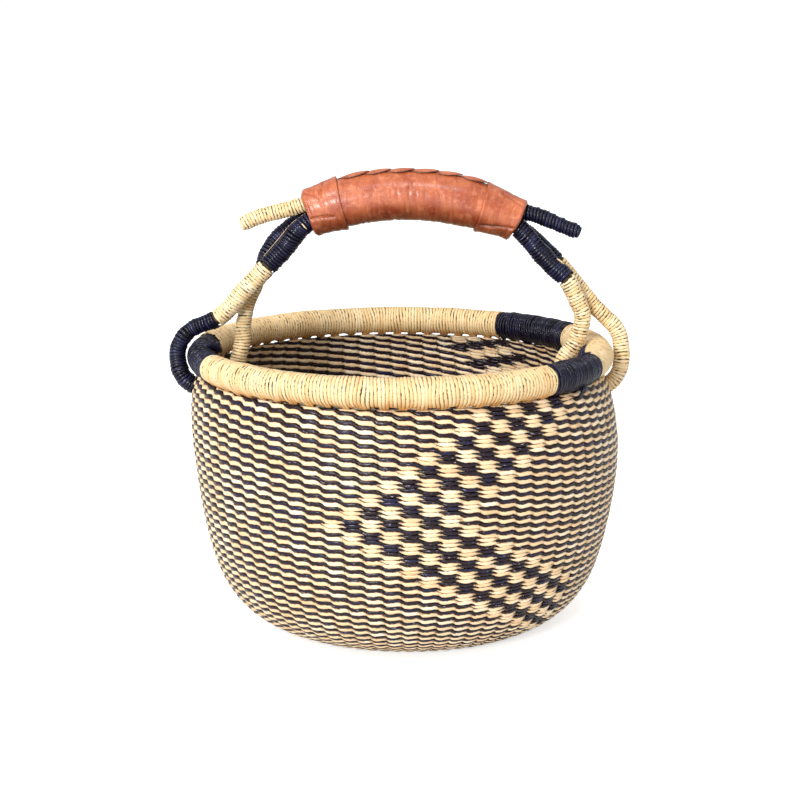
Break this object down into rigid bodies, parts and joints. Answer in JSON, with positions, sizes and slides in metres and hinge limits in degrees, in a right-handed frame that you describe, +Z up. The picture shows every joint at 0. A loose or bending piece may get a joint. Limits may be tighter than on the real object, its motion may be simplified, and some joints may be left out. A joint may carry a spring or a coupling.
{
  "type": "market basket",
  "caption": "Round twined straw basket with a bound rim and a bail handle made of one bound rod, held in a laced leather grip and looped round the rim",
  "frame": {"origin": "bottom centre of the basket where it stands, under the centre of the rim and of the handle", "axes": "+Z up; the handle spans X; the front, towards the viewer, is -Y, so the left of the picture is -X"},
  "size_m": [0.3121, 0.2888, 0.3073],
  "materials": {
    "woven_straw": "paired natural and navy straw, twined, lightly glossy",
    "natural_straw": "natural dried grass straw, satin",
    "navy_straw": "navy dyed straw, slightly glossy",
    "tan_leather": "reddish tan vegetable leather, rubbed"
  },
  "bodies": {
    "basket": {"base_weave": "woven_straw", "wall_weave": "woven_straw", "rim_core": "natural_straw", "rim_binding_front": "natural_straw", "rim_binding_right": "natural_straw", "rim_binding_back": "natural_straw", "rim_binding_front_right": "navy_straw", "rim_binding_back_right": "navy_straw", "rim_binding_left": "navy_straw"},
    "handle": {"handle_rod": "natural_straw", "left_stub_binding": "natural_straw", "right_loop_binding": "natural_straw", "left_front_natural_binding": "natural_straw", "left_inner_binding": "natural_straw", "right_front_navy_binding": "navy_straw", "right_back_navy_binding": "navy_straw", "left_front_navy_binding": "navy_straw", "left_loop_binding": "navy_straw", "left_back_navy_binding": "navy_straw", "right_stub_binding": "navy_straw", "grip_sleeve": "tan_leather", "grip_cuff_left": "tan_leather", "grip_cuff_right": "tan_leather", "grip_lace": "tan_leather"}
  },
  "joints": [
    {"name": "handle_swing", "type": "hinge", "parent": "basket", "child": "handle", "pos_m": [0, 0, 0.1595], "axis": [1, 0, 0], "range_deg": [-20, 20]}
  ]
}
